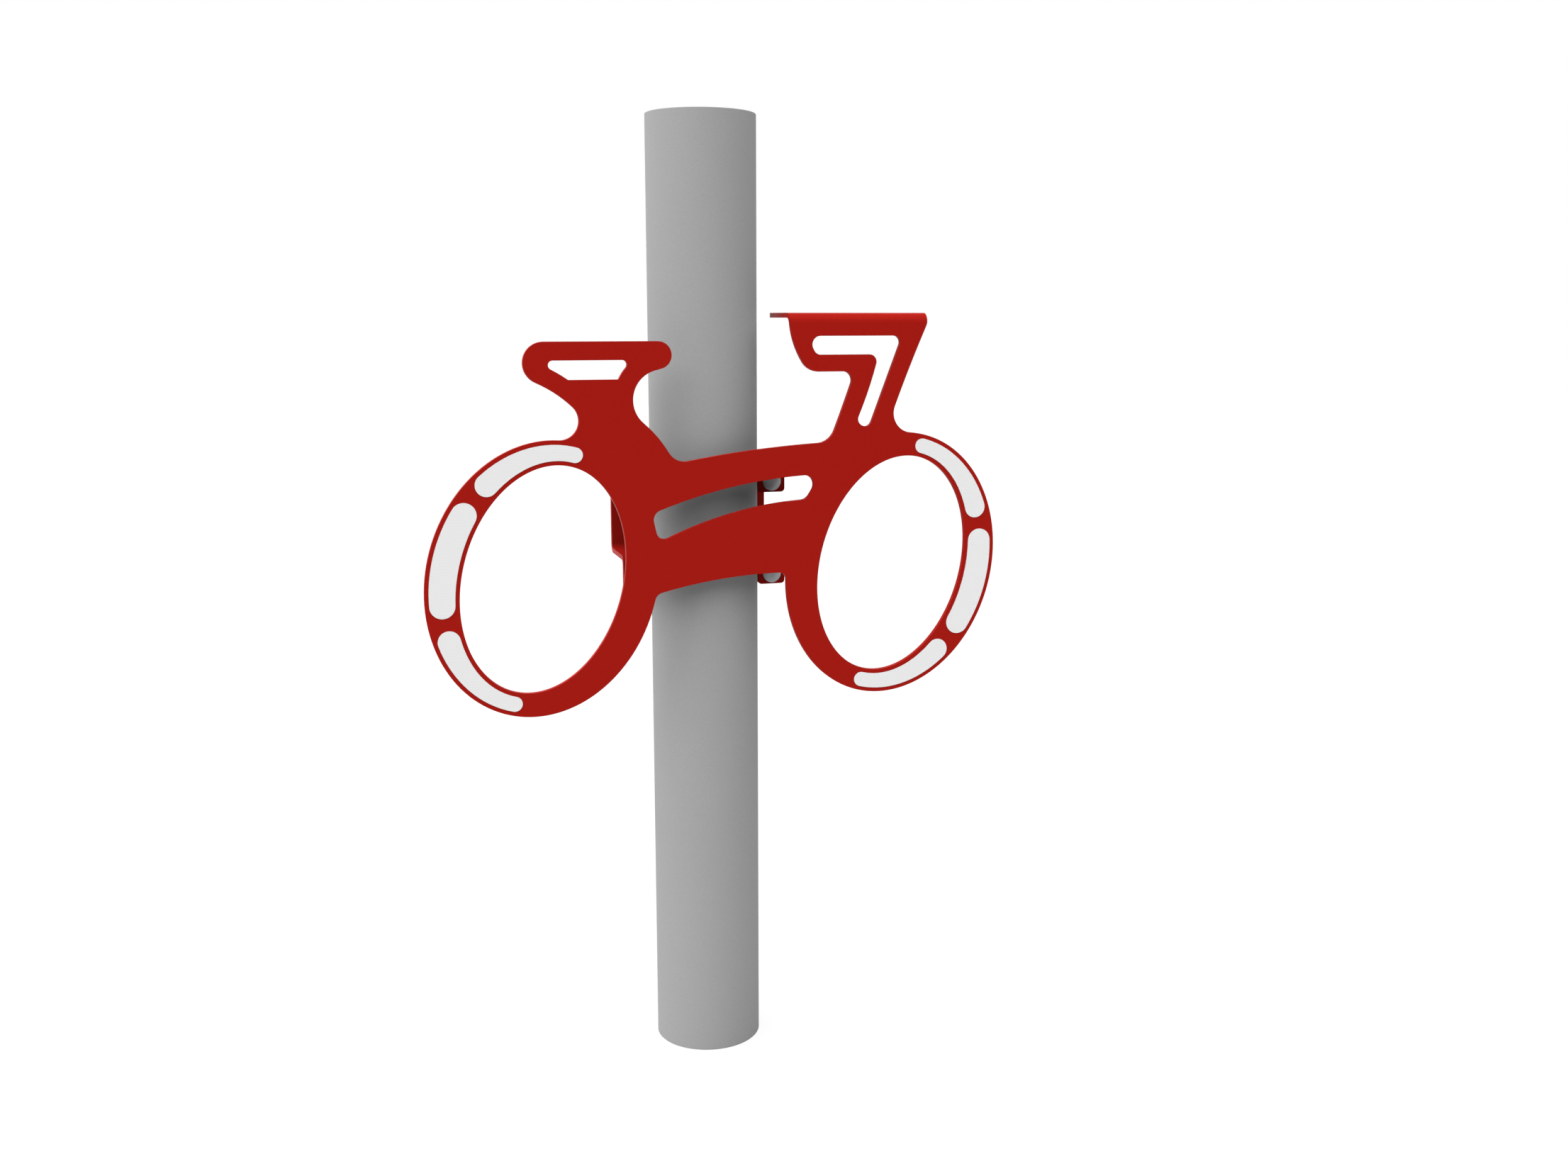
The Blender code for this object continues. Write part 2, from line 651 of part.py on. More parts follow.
def make_front_bracket(level_name, level, parts):
    """A notched shelf welded to the back of the bicycle, with two bolt tabs folded down."""
    weld_edge = -(PLATE_BACK - SEAT_GAP)
    bend_start = -(TAB_FACE + BEND_INNER_R)
    shelf = bend_start - weld_edge
    tab = TAB_DROP - BEND_INNER_R
    end = shelf + BEND_LENGTH + tab
    half = CLAMP_WIDTH / 2
    outline = [Vector((-half, 0)), Vector((half, 0))] + notched_arms(-weld_edge, end)
    loops = [outline] + tab_holes(end, 1, square_loop, NECK_SIDE + 2 * HOLE_CLEARANCE)
    name = f"front_bracket_{level_name}"
    mesh, bm = sheet_mesh(name, loops, SHEET)
    folded(bm, (weld_edge, level + SHEET / 2), 0.0, (shelf, ("bend", -1), tab))
    sheet_part(name, mesh, bm, parts, PAINT_RED, (0, 0, level))


def make_rear_clamp(parts):
    """The rear half of the clamp: a channel behind the pole, notched round it, with four bolt tabs."""
    tab = TAB_DROP - BEND_INNER_R
    flange = CLAMP_DEPTH - BEND_OUTER_R - (TAB_FACE + BEND_INNER_R)
    web = FLANGE_PITCH + SHEET - 2 * BEND_OUTER_R
    upper_flange = tab + BEND_LENGTH
    web_start = upper_flange + flange + BEND_LENGTH
    lower_flange = web_start + web + BEND_LENGTH
    end = lower_flange + flange + BEND_LENGTH + tab
    pole_to_bend = CLAMP_DEPTH - BEND_OUTER_R
    upper_notch = upper_flange + flange - pole_to_bend
    lower_notch = lower_flange + pole_to_bend
    outline = notched_arms(lower_notch, end) + notched_arms(upper_notch, 0.0)
    loops = [outline] + tab_holes(end, 1, circle_loop, ROUND_HOLE_D / 2)
    loops += tab_holes(0.0, -1, circle_loop, ROUND_HOLE_D / 2)
    mesh, bm = sheet_mesh("rear_clamp", loops, SHEET)
    upper_level, lower_level = LEVELS[0][1], LEVELS[1][1]
    stretches = (tab, ("bend", -1), flange, ("bend", -1), web, ("bend", -1), flange, ("bend", 1), tab)
    folded(bm, (TAB_FACE - SHEET / 2, upper_level - TAB_DROP), math.pi / 2, stretches)
    sheet_part("rear_clamp", mesh, bm, parts, PAINT_RED, (0, 0, (upper_level + lower_level) / 2))


def turned(name, profile, steps, collection, look, closed=False):
    """A profile of (radius, height) points turned about Z, outer side first and downwards."""
    mesh = bpy.data.meshes.new(name)
    bm = bmesh.new()
    points = [bm.verts.new((radius, 0, height)) for radius, height in profile]
    for a, b in zip(points, points[1:] + points[:1] if closed else points[1:]):
        bm.edges.new((a, b))
    bm.to_mesh(mesh)
    bm.free()
    obj = add_object(name, mesh, collection, look)
    screw = obj.modifiers.new("turn", "SCREW")
    screw.axis = "Z"
    screw.angle = 2 * math.pi
    screw.steps = steps
    screw.render_steps = steps
    screw.use_merge_vertices = True
    screw.merge_threshold = MERGE_DISTANCE
    screw.use_smooth_shade = True
    return obj


def boolean(obj, operation, other):
    modifier = obj.modifiers.new(operation.lower(), "BOOLEAN")
    modifier.operation = operation
    modifier.solver = "EXACT"
    modifier.object = other


def prism(name, sides, radius, height, collection, turn=0.0):
    """An upright prism on Z = 0, as a helper that isn't drawn."""
    mesh = bpy.data.meshes.new(name)
    bm = bmesh.new()
    lift = Matrix.Translation((0, 0, height / 2)) @ Matrix.Rotation(turn, 4, "Z")
    bmesh.ops.create_cone(
        bm, cap_ends=True, segments=sides, radius1=radius, radius2=radius, depth=height, matrix=lift
    )
    bm.to_mesh(mesh)
    bm.free()
    obj = add_object(name, mesh, collection, None)
    obj.hide_render = True
    obj.display_type = "WIRE"
    return obj


def make_pole(parts):
    outer, inner = POLE_OD / 2, POLE_OD / 2 - POLE_WALL
    profile = ((outer, POLE_LENGTH), (outer, 0), (inner, 0), (inner, POLE_LENGTH))
    turned("pole", profile, POLE_STEPS, parts, POLE_GREY, closed=True)


def dome_profile():
    """The mushroom head's round, from its crown out to its rim, with the head's seat at height 0."""
    rise = HEAD_HEIGHT - HEAD_RIM_HEIGHT
    radius = (HEAD_D ** 2 / 4 + rise ** 2) / (2 * rise)
    sweep = math.asin(HEAD_D / 2 / radius)
    centre = HEAD_HEIGHT - radius
    angles = [sweep * k / DOME_STEPS for k in range(DOME_STEPS + 1)]
    arc = [(radius * math.sin(angle), centre + radius * math.cos(angle)) for angle in angles]
    return arc + [(HEAD_D / 2, 0)]


def bolt_places():
    for level_name, level in LEVELS:
        for side_name, side in SIDES:
            height = level - TAB_DROP + BOLT_RISE
            yield f"{level_name}_{side_name}", side * BOLT_X, height


def make_fasteners(parts, cutters):
    """Each coach bolt has its dome at the front; its washer and nut are behind the rear clamp's tab."""
    forward = math.pi / 2
    shank_r = BOLT_D / 2
    bolt_profile = dome_profile() + [
        (shank_r, 0),
        (shank_r, -BOLT_LENGTH + BOLT_TIP_CHAMFER),
        (shank_r - BOLT_TIP_CHAMFER, -BOLT_LENGTH),
        (0, -BOLT_LENGTH),
    ]
    bore_r = BORE_D / 2
    washer_r = WASHER_OD / 2
    washer_profile = (
        (washer_r, WASHER_THICKNESS),
        (washer_r, 0),
        (bore_r, 0),
        (bore_r, WASHER_THICKNESS),
    )
    corner_r = NUT_FLATS / math.sqrt(3)
    face_r = NUT_FLATS / 2
    drop = (corner_r - face_r) * math.tan(NUT_CHAMFER_ANGLE)
    nut_profile = (
        (face_r, NUT_HEIGHT),
        (corner_r, NUT_HEIGHT - drop),
        (corner_r, drop),
        (face_r, 0),
        (bore_r, 0),
        (bore_r, NUT_HEIGHT),
    )
    neck_corner_r = NECK_SIDE / math.sqrt(2)
    neck_length = NECK_DEPTH + HEAD_HEIGHT / 2
    neck = prism("neck_blank", 4, neck_corner_r, neck_length, cutters, math.pi / 4)
    hexagon = prism("nut_blank", 6, corner_r, NUT_HEIGHT * 2, cutters)
    hexagon.location.z = -NUT_HEIGHT / 2
    neck.location.z = -NECK_DEPTH
    for place, x, height in bolt_places():
        bolt = turned(f"coach_bolt_{place}", bolt_profile, FASTENER_STEPS, parts, ZINC)
        boolean(bolt, "UNION", placed_copy(neck, f"neck_{place}", cutters, bolt))
        bolt.rotation_euler.x = forward
        bolt.location = (x, -HEAD_SEAT, height)
        washer_y = TAB_FACE + SEAT_GAP
        washer = turned(f"washer_{place}", washer_profile, FASTENER_STEPS, parts, ZINC, closed=True)
        washer.rotation_euler.x = -forward
        washer.location = (x, washer_y, height)
        nut = turned(f"nut_{place}", nut_profile, FASTENER_STEPS, parts, ZINC, closed=True)
        boolean(nut, "INTERSECT", placed_copy(hexagon, f"hexagon_{place}", cutters, nut))
        nut.rotation_euler.x = -forward
        nut.location = (x, washer_y + WASHER_THICKNESS + SEAT_GAP, height)
    for blank in (neck, hexagon):
        bpy.data.objects.remove(blank, do_unlink=True)


def placed_copy(blank, name, cutters, owner):
    """A helper's copy that follows the piece it shapes."""
    copy = bpy.data.objects.new(name, blank.data)
    cutters.objects.link(copy)
    copy.location = blank.location
    copy.parent = owner
    copy.hide_render = True
    copy.display_type = "WIRE"
    return copy


def main():
    parts, cutters = cleared_scene()
    make_pole(parts)
    make_bike_plate(parts)
    make_reflector_strips(parts)
    for level_name, level in LEVELS:
        make_front_bracket(level_name, level, parts)
    make_rear_clamp(parts)
    make_fasteners(parts, cutters)


main()
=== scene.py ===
"""A pole-mounted bike hook: a red bicycle cut from sheet steel on a grey pole, held by a two-part clamp.

Metres, with +Z up. The pole stands on the origin and the bicycle faces -Y.
"""

import math

import bmesh
import bpy
from mathutils import Matrix, Vector


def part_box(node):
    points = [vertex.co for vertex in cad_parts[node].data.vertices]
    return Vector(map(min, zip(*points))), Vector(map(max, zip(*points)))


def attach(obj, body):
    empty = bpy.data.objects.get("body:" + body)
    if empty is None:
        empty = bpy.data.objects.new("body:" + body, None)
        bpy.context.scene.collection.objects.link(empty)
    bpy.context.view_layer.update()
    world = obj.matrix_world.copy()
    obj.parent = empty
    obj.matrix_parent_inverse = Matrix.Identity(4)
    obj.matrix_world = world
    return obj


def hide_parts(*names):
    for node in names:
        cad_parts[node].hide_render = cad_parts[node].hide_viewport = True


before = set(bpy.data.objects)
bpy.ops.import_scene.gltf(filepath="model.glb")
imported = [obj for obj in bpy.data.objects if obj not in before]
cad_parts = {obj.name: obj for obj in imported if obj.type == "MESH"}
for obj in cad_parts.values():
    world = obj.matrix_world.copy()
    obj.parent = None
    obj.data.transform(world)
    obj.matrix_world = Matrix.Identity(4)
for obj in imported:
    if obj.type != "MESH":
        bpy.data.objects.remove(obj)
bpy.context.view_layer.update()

# The clamp's levels and sides as the nodes name them, and the walls of the tube and the sheet
LEVELS = ("upper", "lower")
SIDES = ("left", "right")
POLE_WALL = 0.0036
SHEET = 0.005

# Edges softened by paint, film and deburring
COATED_EDGE = 0.00035
FILM_EDGE = 0.00008
EDGE_SEGMENTS = 2
SHARP_ANGLE = math.radians(35.0)
FLAT_ANGLE = math.radians(0.3)
MERGE_DISTANCE = 0.00001

# Pole ends
POLE_STEPS = 192
POLE_DEBURR = 0.0006

# M8 coach bolt, washer and nut
FASTENER_STEPS = 72
HEAD_R = 0.0100
HEAD_HEIGHT = 0.00465
HEAD_RIM = 0.0007
HEAD_RIM_SOFT = 0.0002
DOME_RINGS = 9
CROWN_R = 0.0004
NECK_HALF = 0.0042
NECK_CORNER_R = 0.0006
NECK_DEPTH = 0.0044
NECK_TAPER = 0.0006
SHANK_R = 0.0040
SHANK_END = 0.0142
CORE_R = 0.00340
CORE_START = 0.0148
BOLT_LENGTH = 0.0400
TIP_R = 0.0029
TIP_LENGTH = 0.0008
THREAD_PITCH = 0.00125
THREAD_SIDE = 0.00120
THREAD_END_MARGIN = 0.0007
THREAD_STEPS = 40
RIDGE_SIDES = 3
WASHER_R = 0.0080
WASHER_BORE_R = 0.0043
WASHER_THICKNESS = 0.0016
WASHER_ROUND = 0.0002
NUT_FLATS = 0.0130
NUT_HEIGHT = 0.0065
NUT_BORE_R = 0.0043
NUT_COUNTERSINK = 0.0004
NUT_FACE_SHARE = 0.95
NUT_CHAMFER = math.radians(30.0)

# Stitch welds that hold each front bracket to the back of the bicycle
WELD_X = (-0.068, -0.023, 0.023, 0.068)
WELD_LENGTH = 0.024
WELD_RADIUS = 0.0034
WELD_INSET = 0.0002
WELD_RIPPLE = 0.0015
WELD_LEAN = math.radians(36.0)
WELD_FLATTEN = 0.62
WELD_UNEVEN = 0.04
POOL_SEGMENTS = 16
POOL_RINGS = 8

# Colours, linear
PAINT_RED = (0.363, 0.0110, 0.0068, 1.0)
PAINT_DARK = (0.339, 0.0100, 0.0062, 1.0)
PAINT_BOUNCE = (0.065, 0.045, 0.045, 1.0)
POLE_GREY = (0.359, 0.359, 0.359, 1.0)
POLE_SHADE = (0.344, 0.345, 0.347, 1.0)
POLE_SPECK = (0.305, 0.306, 0.308, 1.0)
FILM_WHITE = (0.836, 0.836, 0.835, 1.0)
FILM_LINE = (0.806, 0.806, 0.805, 1.0)
ZINC = (0.480, 0.508, 0.525, 1.0)
ZINC_DULL = (0.414, 0.438, 0.453, 1.0)

# Patterns: bands of noise that count, a normal's Y from face to cut wall, and the wall's streaks
PATCH_BAND = (0.35, 0.65)
GRAIN_BAND = (0.3, 0.7)
WALL_BAND = (0.75, 0.25)
STREAK_STRETCH = (1.0, 0.02, 1.0)
STREAK_SHARE = 0.35

# Studio: the camera's place and turn, the lamps and the floor
CAMERA_PLACE = (-0.3918, -1.5762, 0.7962)
CAMERA_HEADING = math.radians(16.989)
CAMERA_PITCH = math.radians(10.109)
CAMERA_LENS = 35.0
CAMERA_SENSOR = 36.0
WORLD_LEVEL = 0.10
WORLD_SEEN_LEVEL = 1.0
WORLD_WHITE = (1.0, 1.0, 1.0, 1.0)
LAMPS = (
    # name, strength, seen in gloss, and in degrees: width, heading from -Y towards +X, rise above the floor
    ("top_lamp", 2.50, False, 130.0, 0.0, 90.0),
    ("left_lamp", 2.15, True, 100.0, -107.0, 25.0),
    ("front_lamp", 1.75, True, 80.0, -24.0, 57.0),
    ("back_lamp", 0.60, True, 100.0, 165.0, 40.0),
)
FLOOR_HALF = 12.0
FLOOR_GREY = (0.40, 0.40, 0.40, 1.0)
FLOOR_SHADOW_GREY = (0.12, 0.12, 0.12, 1.0)
FLOOR_GLOW = 0.86


def tree_nodes(tree):
    """Short ways to add a node and to join sockets in a node tree."""

    def add(kind, **settings):
        node = tree.nodes.new(kind)
        for name, value in settings.items():
            setattr(node, name, value)
        return node

    def join(output, target):
        tree.links.new(output, target)

    return add, join


def add_sockets(tree, direction, kinds):
    """Gives a tree named inputs or outputs, each with the kind of value that it carries."""
    for label, kind in kinds.items():
        tree.interface.new_socket(label, in_out=direction, socket_type=f"NodeSocket{kind}")


def shader_group(name, inputs, outputs):
    """An empty shader node group with named sockets, and its input and output nodes."""
    tree = bpy.data.node_groups.new(name, "ShaderNodeTree")
    add_sockets(tree, "INPUT", inputs)
    add_sockets(tree, "OUTPUT", outputs)
    add, join = tree_nodes(tree)
    return tree, add, join, add("NodeGroupInput"), add("NodeGroupOutput")


def math_node(add, join, operation, *values):
    """The result of a Math node whose inputs are sockets or plain numbers."""
    node = add("ShaderNodeMath", operation=operation)
    for slot, value in zip(node.inputs, values):
        if isinstance(value, (int, float)):
            slot.default_value = value
        else:
            join(value, slot)
    return node.outputs["Value"]


def noise_node(add, join, place, scale, detail):
    """A Noise Texture whose place and scale come from sockets."""
    node = add("ShaderNodeTexNoise")
    node.inputs["Detail"].default_value = detail
    join(place, node.inputs["Vector"])
    join(scale, node.inputs["Scale"])
    return node


def band_node(add, join, value, band):
    """A Map Range that goes from its lowest to its highest result while a value crosses a band."""
    start, stop = band
    node = add("ShaderNodeMapRange", clamp=True)
    node.inputs["From Min"].default_value = start
    node.inputs["From Max"].default_value = stop
    join(value, node.inputs["Value"])
    return node


def mottling_group():
    """Slow drift between two shades and two roughnesses, as in paint and plating."""
    tree, add, join, given, result = shader_group(
        "mottling",
        {
            "Shade": "Color",
            "Other shade": "Color",
            "Amount": "Float",
            "Patches per metre": "Float",
            "Smoothest": "Float",
            "Roughest": "Float",
        },
        {"Colour": "Color", "Roughness": "Float"},
    )
    place = add("ShaderNodeTexCoord")
    noise = noise_node(add, join, place.outputs["Object"], given.outputs["Patches per metre"], detail=3.0)
    noise.inputs["Roughness"].default_value = 0.55
    patch = band_node(add, join, noise.outputs["Fac"], PATCH_BAND)
    amount = math_node(add, join, "MULTIPLY", patch.outputs["Result"], given.outputs["Amount"])
    mix = add("ShaderNodeMix", data_type="RGBA")
    join(amount, mix.inputs["Factor"])
    join(given.outputs["Shade"], mix.inputs["A"])
    join(given.outputs["Other shade"], mix.inputs["B"])
    join(mix.outputs["Result"], result.inputs["Colour"])
    rough = add("ShaderNodeMapRange")
    join(patch.outputs["Result"], rough.inputs["Value"])
    join(given.outputs["Smoothest"], rough.inputs["To Min"])
    join(given.outputs["Roughest"], rough.inputs["To Max"])
    join(rough.outputs["Result"], result.inputs["Roughness"])
    return tree


def paint_skin_group():
    """The faint waviness of a sprayed coat, with the finer roughness of the surface under it."""
    tree, add, join, given, result = shader_group(
        "paint_skin",
        {"Waves per metre": "Float", "Grain per metre": "Float", "Grain share": "Float"},
        {"Height": "Float"},
    )
    place = add("ShaderNodeTexCoord")
    waves = noise_node(add, join, place.outputs["Object"], given.outputs["Waves per metre"], detail=1.0)
    grain = noise_node(add, join, place.outputs["Object"], given.outputs["Grain per metre"], detail=2.0)
    fine = math_node(add, join, "MULTIPLY", grain.outputs["Fac"], given.outputs["Grain share"])
    join(math_node(add, join, "ADD", waves.outputs["Fac"], fine), result.inputs["Height"])
    return tree


def cut_wall_group():
    """Streaks that a cutting beam leaves through the sheet. They show only on walls square to the sheet."""
    tree, add, join, given, result = shader_group(
        "cut_wall",
        {"Streaks per metre": "Float"},
        {"Height": "Float"},
    )
    place = add("ShaderNodeTexCoord")
    across = add("ShaderNodeMapping")
    across.inputs["Scale"].default_value = STREAK_STRETCH
    join(place.outputs["Object"], across.inputs["Vector"])
    streaks = noise_node(
        add, join, across.outputs["Vector"], given.outputs["Streaks per metre"], detail=1.0
    )
    facing = add("ShaderNodeSeparateXYZ")
    join(place.outputs["Normal"], facing.inputs["Vector"])
    front = math_node(add, join, "ABSOLUTE", facing.outputs["Y"])
    wall = band_node(add, join, front, WALL_BAND)
    height = math_node(add, join, "MULTIPLY", streaks.outputs["Fac"], wall.outputs["Result"])
    join(height, result.inputs["Height"])
    return tree


def film_cells_group():
    """The honeycomb of sealed cells in reflective film, seen in the film's own plane.

    Two grids of cell centres, one shifted by half a cell both ways, make the honeycomb. A cell has two
    upright sides and four that lean sixty degrees from them.
    """
    tree, add, join, given, result = shader_group(
        "film_cells",
        {"Cells per metre": "Float", "Wall width": "Float"},
        {"Wall": "Float"},
    )
    place = add("ShaderNodeTexCoord")
    flat = add("ShaderNodeSeparateXYZ")
    join(place.outputs["Object"], flat.inputs["Vector"])
    across = math_node(add, join, "MULTIPLY", flat.outputs["X"], given.outputs["Cells per metre"])
    up = math_node(add, join, "MULTIPLY", flat.outputs["Z"], given.outputs["Cells per metre"])
    half_wide = 0.5
    half_high = math.sqrt(3.0) / 2
    slant = math.radians(60.0)
    distances = []
    for shift in (0, 1):
        moved = math_node(add, join, "ADD", across, shift * half_wide)
        raised = math_node(add, join, "ADD", up, shift * half_high)
        side = math_node(add, join, "ABSOLUTE", math_node(add, join, "WRAP", moved, half_wide, -half_wide))
        end = math_node(add, join, "ABSOLUTE", math_node(add, join, "WRAP", raised, half_high, -half_high))
        along_side = math_node(add, join, "MULTIPLY", side, math.cos(slant))
        along_end = math_node(add, join, "MULTIPLY", end, math.sin(slant))
        slanted = math_node(add, join, "ADD", along_side, along_end)
        distances.append(math_node(add, join, "MAXIMUM", side, slanted))
    nearest = math_node(add, join, "MINIMUM", *distances)
    inner = math_node(add, join, "SUBTRACT", half_wide, given.outputs["Wall width"])
    join(math_node(add, join, "GREATER_THAN", nearest, inner), result.inputs["Wall"])
    return tree


def metal_grain_group():
    """The fine, uneven grain of plated metal, for its roughness and its relief."""
    tree, add, join, given, result = shader_group(
        "metal_grain",
        {"Grain per metre": "Float", "Smoothest": "Float", "Roughest": "Float"},
        {"Roughness": "Float", "Height": "Float"},
    )
    place = add("ShaderNodeTexCoord")
    grain = noise_node(add, join, place.outputs["Object"], given.outputs["Grain per metre"], detail=3.0)
    rough = band_node(add, join, grain.outputs["Fac"], GRAIN_BAND)
    join(given.outputs["Smoothest"], rough.inputs["To Min"])
    join(given.outputs["Roughest"], rough.inputs["To Max"])
    join(rough.outputs["Result"], result.inputs["Roughness"])
    join(grain.outputs["Fac"], result.inputs["Height"])
    return tree


def new_material(name, roughness, ior, metallic=0.0):
    """A material with its Principled shader, whose plain values sit on the shader's own sockets."""
    made = bpy.data.materials.new(name)
    made.use_nodes = True
    tree = made.node_tree
    add, join = tree_nodes(tree)
    shader = tree.nodes["Principled BSDF"]
    shader.inputs["Roughness"].default_value = roughness
    shader.inputs["Metallic"].default_value = metallic
    shader.inputs["IOR"].default_value = ior
    return made, shader, add, join


def placed_group(add, group, **values):
    """A group in a material, with its own values; an underscore in a value's name stands for a space."""
    node = add("ShaderNodeGroup", node_tree=group)
    for name, value in values.items():
        node.inputs[name.replace("_", " ")].default_value = value
    return node


def relief(add, join, shader, height, distance, strength):
    """A Bump node that turns a height in shares of a distance into the shader's normal."""
    bump = add("ShaderNodeBump")
    bump.inputs["Distance"].default_value = distance
    bump.inputs["Strength"].default_value = strength
    join(height, bump.inputs["Height"])
    join(bump.outputs["Normal"], shader.inputs["Normal"])


def red_powder_coat(groups):
    """An even red with hardly any gloss. Light that was scattered before meets a nearly grey colour,
    so that the pole behind the bicycle takes on hardly any red."""
    made, shader, add, join = new_material("red_powder_coat", roughness=0.24, ior=1.055)
    shade = placed_group(
        add,
        groups["mottling"],
        Shade=PAINT_RED,
        Other_shade=PAINT_DARK,
        Amount=0.12,
        Patches_per_metre=14.0,
        Smoothest=0.22,
        Roughest=0.28,
    )
    join(shade.outputs["Roughness"], shader.inputs["Roughness"])
    path = add("ShaderNodeLightPath")
    bounced = add("ShaderNodeMix", data_type="RGBA")
    bounced.inputs["B"].default_value = PAINT_BOUNCE
    join(path.outputs["Is Diffuse Ray"], bounced.inputs["Factor"])
    join(shade.outputs["Colour"], bounced.inputs["A"])
    join(bounced.outputs["Result"], shader.inputs["Base Color"])
    skin = placed_group(add, groups["skin"], Waves_per_metre=380.0, Grain_per_metre=2400.0, Grain_share=0.2)
    wall = placed_group(add, groups["wall"], Streaks_per_metre=900.0)
    streaks = math_node(add, join, "MULTIPLY", wall.outputs["Height"], STREAK_SHARE)
    height = math_node(add, join, "ADD", skin.outputs["Height"], streaks)
    relief(add, join, shader, height, distance=0.00004, strength=0.6)
    return made


def pole_paint(groups):
    """Matt grey that drifts slowly between two shades, with fine darker specks."""
    made, shader, add, join = new_material("pole_paint", roughness=0.65, ior=1.12)
    shade = placed_group(
        add,
        groups["mottling"],
        Shade=POLE_GREY,
        Other_shade=POLE_SHADE,
        Amount=0.5,
        Patches_per_metre=9.0,
        Smoothest=0.60,
        Roughest=0.70,
    )
    join(shade.outputs["Roughness"], shader.inputs["Roughness"])
    specks = placed_group(
        add, groups["mottling"], Other_shade=POLE_SPECK, Amount=0.36, Patches_per_metre=650.0
    )
    join(shade.outputs["Colour"], specks.inputs["Shade"])
    join(specks.outputs["Colour"], shader.inputs["Base Color"])
    skin = placed_group(add, groups["skin"], Waves_per_metre=260.0, Grain_per_metre=3000.0, Grain_share=0.6)
    relief(add, join, shader, skin.outputs["Height"], distance=0.00005, strength=0.7)
    return made


def reflective_film(groups):
    """White film with a very faint honeycomb in its colour and its relief."""
    made, shader, add, join = new_material("reflective_film", roughness=0.42, ior=1.3)
    cells = placed_group(add, groups["cells"], Cells_per_metre=290.0, Wall_width=0.06)
    mix = add("ShaderNodeMix", data_type="RGBA")
    mix.inputs["A"].default_value = FILM_WHITE
    mix.inputs["B"].default_value = FILM_LINE
    join(cells.outputs["Wall"], mix.inputs["Factor"])
    join(mix.outputs["Result"], shader.inputs["Base Color"])
    relief(add, join, shader, cells.outputs["Wall"], distance=0.00002, strength=0.4)
    return made


def zinc_plate(groups):
    """Dull grey plating, hardly metallic, with fine patches and grain."""
    made, shader, add, join = new_material("zinc_plate", roughness=0.5, ior=1.45, metallic=0.15)
    shade = placed_group(
        add, groups["mottling"], Shade=ZINC, Other_shade=ZINC_DULL, Amount=0.4, Patches_per_metre=260.0
    )
    join(shade.outputs["Colour"], shader.inputs["Base Color"])
    grain = placed_group(add, groups["grain"], Grain_per_metre=2200.0, Smoothest=0.46, Roughest=0.6)
    join(grain.outputs["Roughness"], shader.inputs["Roughness"])
    relief(add, join, shader, grain.outputs["Height"], distance=0.00002, strength=0.5)
    return made


def geometry_tree(name, inputs):
    """A Geometry Nodes tree with named inputs, which ends in Realize Instances and Set Material."""
    tree = bpy.data.node_groups.new(name, "GeometryNodeTree")
    add_sockets(tree, "INPUT", inputs)
    add_sockets(tree, "OUTPUT", {"Geometry": "Geometry"})
    add, join = tree_nodes(tree)
    given, result = add("NodeGroupInput"), add("NodeGroupOutput")
    realize, dressed = add("GeometryNodeRealizeInstances"), add("GeometryNodeSetMaterial")
    join(realize.outputs["Geometry"], dressed.inputs["Geometry"])
    join(given.outputs["Material"], dressed.inputs["Material"])
    join(dressed.outputs["Geometry"], result.inputs["Geometry"])
    return tree, add, join, given, realize.inputs["Geometry"]


def thread_tree():
    """Winds a sixty-degree ridge round the end of a bolt's shank and joins it to the bolt."""
    tree, add, join, given, end = geometry_tree(
        "bolt_thread",
        {
            "Bolt": "Geometry",
            "Pitch": "Float",
            "Turns": "Float",
            "Steps a turn": "Int",
            "Ridge centre radius": "Float",
            "Ridge radius": "Float",
            "Lowest point": "Float",
            "Material": "Material",
        },
    )
    spiral = add("GeometryNodeCurveSpiral")
    for label in ("Start Radius", "End Radius"):
        join(given.outputs["Ridge centre radius"], spiral.inputs[label])
    join(given.outputs["Turns"], spiral.inputs["Rotations"])
    join(given.outputs["Steps a turn"], spiral.inputs["Resolution"])
    length = math_node(add, join, "MULTIPLY", given.outputs["Pitch"], given.outputs["Turns"])
    join(length, spiral.inputs["Height"])
    lift = add("GeometryNodeTransform")
    lift_by = add("ShaderNodeCombineXYZ")
    join(given.outputs["Lowest point"], lift_by.inputs["Z"])
    join(spiral.outputs["Curve"], lift.inputs["Geometry"])
    join(lift_by.outputs["Vector"], lift.inputs["Translation"])
    upright = add("GeometryNodeSetCurveNormal", mode="Z_UP")
    join(lift.outputs["Geometry"], upright.inputs["Curve"])
    ridge = add("GeometryNodeCurvePrimitiveCircle", mode="RADIUS")
    ridge.inputs["Resolution"].default_value = RIDGE_SIDES
    join(given.outputs["Ridge radius"], ridge.inputs["Radius"])
    swept = add("GeometryNodeCurveToMesh")
    swept.inputs["Fill Caps"].default_value = True
    join(upright.outputs["Curve"], swept.inputs["Curve"])
    join(ridge.outputs["Curve"], swept.inputs["Profile Curve"])
    both = add("GeometryNodeJoinGeometry")
    join(given.outputs["Bolt"], both.inputs["Geometry"])
    join(swept.outputs["Mesh"], both.inputs["Geometry"])
    join(both.outputs["Geometry"], end)
    return tree


